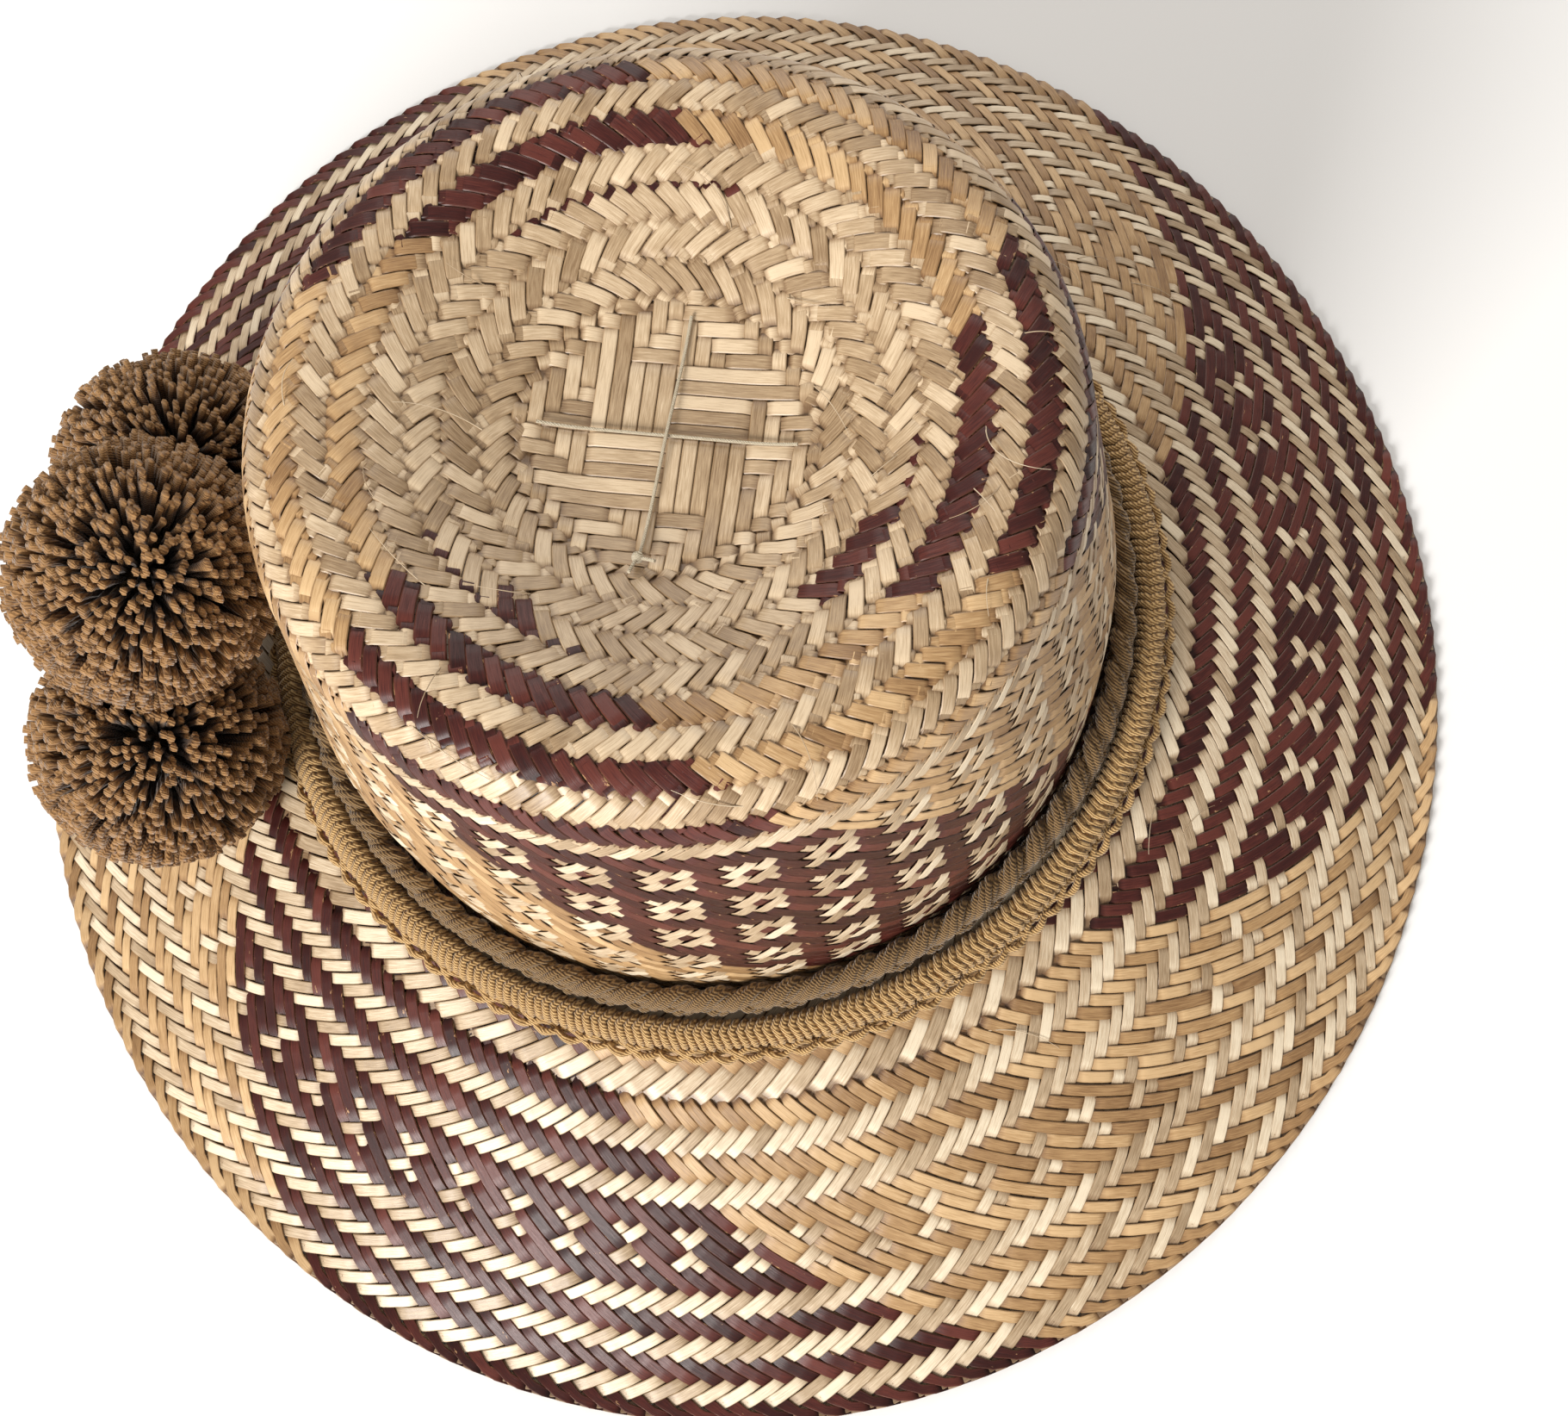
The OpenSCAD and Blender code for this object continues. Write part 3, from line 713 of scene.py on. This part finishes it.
def rib_tree():
    """Slanted ribs of doubled yarn round a core, set side by side round a circle."""
    tree, gin, gout = new_group(
        "Ribbed roll",
        [("Geometry", "NodeSocketGeometry", None), ("Ring radius", "NodeSocketFloat", 0.1),
         ("Height", "NodeSocketFloat", 0), ("Rib radius", "NodeSocketFloat", 0.003),
         ("Yarn radius", "NodeSocketFloat", 0.0008), ("Slant", "NodeSocketFloat", 0.4),
         ("Count", "NodeSocketInt", 300), ("Material", "NodeSocketMaterial", None)],
        [("Geometry", "NodeSocketGeometry")], "GeometryNodeTree")
    loop = add(tree, "GeometryNodeCurvePrimitiveCircle", Resolution=14, Radius=gin.outputs["Rib radius"])
    place = add(tree, "GeometryNodeInputPosition")
    parts = add(tree, "ShaderNodeSeparateXYZ", _0=place.outputs[0])
    bend = times(tree, math_node(tree, "ABSOLUTE", parts.outputs[1]), gin.outputs["Slant"])
    offset = add(tree, "ShaderNodeCombineXYZ", Z=bend)
    bent = add(tree, "GeometryNodeSetPosition", Geometry=loop.outputs["Curve"], Offset=offset.outputs[0])
    yarn = add(tree, "GeometryNodeCurvePrimitiveCircle", Resolution=5, Radius=gin.outputs["Yarn radius"])
    rib = add(tree, "GeometryNodeCurveToMesh", Curve=bent.outputs[0], Profile_Curve=yarn.outputs["Curve"])
    circle = add(tree, "GeometryNodeCurvePrimitiveCircle", Resolution=gin.outputs["Count"],
                 Radius=gin.outputs["Ring radius"])
    heading = add(tree, "GeometryNodeInputTangent")
    out = add(tree, "GeometryNodeInputPosition")
    turned = add(tree, "FunctionNodeAlignRotationToVector", axis="Z", pivot_axis="AUTO", Vector=heading.outputs[0])
    facing = add(tree, "FunctionNodeAlignRotationToVector", axis="Y", pivot_axis="Z", Rotation=turned.outputs[0],
                 Vector=out.outputs[0])
    spread = add(tree, "GeometryNodeInstanceOnPoints", Points=circle.outputs["Curve"], Instance=rib.outputs[0],
                 Rotation=facing.outputs[0])
    sized = add(tree, "GeometryNodeScaleInstances", Instances=spread.outputs[0],
                Scale=random_between(tree, 0.92, 1.06, seed=5))
    lift = add(tree, "ShaderNodeCombineXYZ", Z=gin.outputs["Height"])
    raised = add(tree, "GeometryNodeTransform", Geometry=sized.outputs[0], Translation=lift.outputs[0])
    finish_tree(tree, raised.outputs[0], gin, gout)
    return tree


# Roll: ribs of doubled yarn over a plain core
roll_z, roll_half = (roll_lo[2] + roll_hi[2]) / 2, (roll_hi[2] - roll_lo[2]) / 2
roll_r = roll_hi[0] - roll_half
roll = apply_tree(new_object("band_ribbed_roll", [(0, 0, 0)]), rib_tree(), Ring_radius=roll_r, Height=roll_z,
                  Rib_radius=roll_half - 0.6 * mm, Yarn_radius=0.95 * mm, Slant=0.55, Count=330, Material=band_yarn)
finish_piece(roll, "band_yarn", "band_roll", body="hat_band")
finish_piece(ring_line("band_roll_core", lambda a, p: roll_r, lambda a, p: roll_z, band_yarn,
                       2 * (roll_half - 0.9 * mm), steps=360), "band_yarn", body="hat_band")

# Chain edge: two cords that cross fifty-six times on their way round
lace_z = (lace_lo[2] + lace_hi[2]) / 2
lace_r = lace_hi[0] - (lace_hi[2] - lace_lo[2]) / 2
chain_links = 56
finish_piece(ring_line("band_chain_edge", lambda a, p: lace_r + 0.6 * mm + 1.25 * mm * np.sin(chain_links * a + p),
                       lambda a, p: lace_z + 0.3 * mm + 0.55 * mm * np.sin(2 * chain_links * a + p), band_yarn,
                       1.7 * mm, strands=2, steps=1200), "band_yarn", "band_lace", body="hat_band")


# ---------------------------------------------------------------- pompoms
def pompom_tree():
    """Cut yarn ends standing all over a ball."""
    tree, gin, gout = new_group(
        "Pompom yarns",
        [("Geometry", "NodeSocketGeometry", None), ("Yarn length", "NodeSocketFloat", 0.016),
         ("Yarn radius", "NodeSocketFloat", 0.001), ("Density", "NodeSocketFloat", 300000.0),
         ("Lean", "NodeSocketFloat", 0.2), ("Seed", "NodeSocketInt", 1), ("Material", "NodeSocketMaterial", None)],
        [("Geometry", "NodeSocketGeometry")], "GeometryNodeTree")
    post = add(tree, "GeometryNodeMeshCone", Vertices=6, Side_Segments=4, Radius_Top=1.0, Radius_Bottom=0.55, Depth=1.0)
    place = add(tree, "GeometryNodeInputPosition")
    x, y, z = add(tree, "ShaderNodeSeparateXYZ", _0=place.outputs[0]).outputs
    marked = stored(tree, post.outputs["Mesh"], "reach", z)
    radius = gin.outputs["Yarn radius"]
    oval = add(tree, "ShaderNodeCombineXYZ", X=times(tree, x, radius), Y=times(tree, times(tree, y, 0.68), radius),
               Z=times(tree, z, gin.outputs["Yarn length"]))
    twist = add(tree, "ShaderNodeVectorRotate", rotation_type="Z_AXIS", Vector=oval.outputs[0],
                Angle=times(tree, z, 5.2))
    yarn = add(tree, "GeometryNodeSetPosition", Geometry=marked, Position=twist.outputs[0])
    points = add(tree, "GeometryNodeDistributePointsOnFaces", Mesh=gin.outputs["Geometry"],
                 Density=gin.outputs["Density"], Seed=gin.outputs["Seed"])
    lean = add(tree, "FunctionNodeRandomValue", data_type="FLOAT_VECTOR", Seed=3)
    lean.inputs[0].default_value, lean.inputs[1].default_value = (-1, -1, -1), (1, 1, 1)
    leaning = add(tree, "ShaderNodeVectorMath", operation="SCALE", _0=lean.outputs[0], Scale=gin.outputs["Lean"])
    heading = add(tree, "ShaderNodeVectorMath", operation="ADD", _0=points.outputs["Normal"], _1=leaning.outputs[0])
    turned = add(tree, "FunctionNodeAlignRotationToVector", axis="Z", pivot_axis="AUTO", Vector=heading.outputs[0])
    spread = add(tree, "GeometryNodeInstanceOnPoints", Points=points.outputs["Points"], Instance=yarn.outputs[0],
                 Rotation=turned.outputs[0], Scale=random_between(tree, 0.86, 1.07, seed=8))
    toned = stored(tree, spread.outputs[0], "yarn", random_between(tree, 0.0, 1.0, seed=9), domain="INSTANCE")
    finish_tree(tree, toned, gin, gout)
    return tree


pompom_yarns = pompom_tree()


def ball(name, centre, radius):
    made = bmesh.new()
    bmesh.ops.create_icosphere(made, subdivisions=3, radius=radius, matrix=Matrix.Translation(centre))
    mesh = bpy.data.meshes.new(name)
    made.to_mesh(mesh)
    made.free()
    mesh.shade_smooth()
    return place_in_scene(name, mesh)


yarn_count, yarn_half, loose_tips = 2300, 1.12 * mm, 3.5 * mm
for number, side in enumerate(("back", "front", "top")):
    body = "pompom_" + side
    low, high = (Vector(corner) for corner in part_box("pompom_%s_yarn" % side))
    centre, radius = (low + high) / 2, (high.y - low.y) / 2
    inner = radius - 11 * mm
    yarns = apply_tree(ball(body + "_yarns", centre, inner), pompom_yarns, Yarn_length=radius - inner + loose_tips,
                       Yarn_radius=yarn_half, Density=yarn_count / (4 * math.pi * inner ** 2), Lean=0.16,
                       Seed=11 + number, Material=pompom_yarn)
    finish_piece(yarns, "pompom_yarn", body + "_yarn", body=body)
    # a dark ball inside the yarns: painted shade where the gaps between yarns look deep into the pompom
    core = ball(body + "_core", centre, inner + 1 * mm)
    core.data.materials.append(core_shade_and_binding_yarn)
    finish_piece(core, "pompom_yarn", body=body)


# ---------------------------------------------------------------- pieces carried over from the part
for names, material in (
        (("tip_stitch_long", "tip_stitch_short", "tip_knot", "sweatband_stitches"), cotton_thread),
        (("sweatband", "sweatband_lap"), sweat_tape),
        (("band_knot", "pompom_top_cord", "pompom_back_cord", "pompom_front_cord"), band_yarn),
        (("pompom_back_binding", "pompom_front_binding", "pompom_top_binding"), core_shade_and_binding_yarn)):
    for name in names:
        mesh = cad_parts[name].data
        mesh.materials.clear()
        mesh.materials.append(material)

# ---------------------------------------------------------------- floor, light and camera
floor = new_object("floor", [(-4, -4, 0), (4, -4, 0), (4, 4, 0), (-4, 4, 0)], faces=[(0, 1, 2, 3)])
floor_paint, floor_tree, floor_shader = new_material("Pale floor", 0.9, 0.1)
floor_place = add(floor_tree, "ShaderNodeTexCoord").outputs["Object"]
grain = add(floor_tree, "ShaderNodeTexNoise", Vector=floor_place, Scale=3.0).outputs["Fac"]
floor_tree.links.new(ramp(floor_tree, grain, (0.3, (0.86, 0.86, 0.86)), (0.7, (0.89, 0.89, 0.89))),
                     floor_shader.inputs["Base Color"])
floor.data.materials.append(floor_paint)


def lamp(name, place, power, size, colour):
    """A square soft light that looks at the middle of the hat."""
    data = bpy.data.lights.new(name, "AREA")
    data.energy, data.size, data.color = power, size, colour
    obj = place_in_scene(name, data)
    obj.location = place
    obj.rotation_euler = (Vector(place) - Vector((0, 0, 0.05))).to_track_quat("Z", "Y").to_euler()


lamp("key light", (-0.92, -1.22, 0.90), 41, 0.6, (1, 0.985, 0.96))
lamp("back light", (0.1, 1.4, 1.0), 15, 1.4, (1, 0.97, 0.93))

world = bpy.data.worlds.new("Soft studio")
world.use_nodes = True
sky = world.node_tree.nodes["Background"]
sky.inputs["Color"].default_value, sky.inputs["Strength"].default_value = (1, 0.95, 0.885, 1), 0.47
bpy.context.scene.world = world
bpy.context.scene.view_settings.view_transform = "Standard"

camera_data = bpy.data.cameras.new("camera")
camera_data.sensor_width, camera_data.lens, camera_data.clip_start = 36, 50.04, 0.01
camera = place_in_scene("camera", camera_data)
right, up = Vector((0.9916, -0.1110, -0.0661)), Vector((0.1254, 0.9496, 0.2873))
back = right.cross(up).normalized()
up = back.cross(right).normalized()
facing = Matrix((right.normalized(), up, back)).transposed().to_4x4()
camera.matrix_world = Matrix.Translation((0.0293, -0.1788, 0.5304)) @ facing
bpy.context.scene.camera = camera

for name, obj in pieces.items():
    print("piece", name, len(obj.data.polygons))
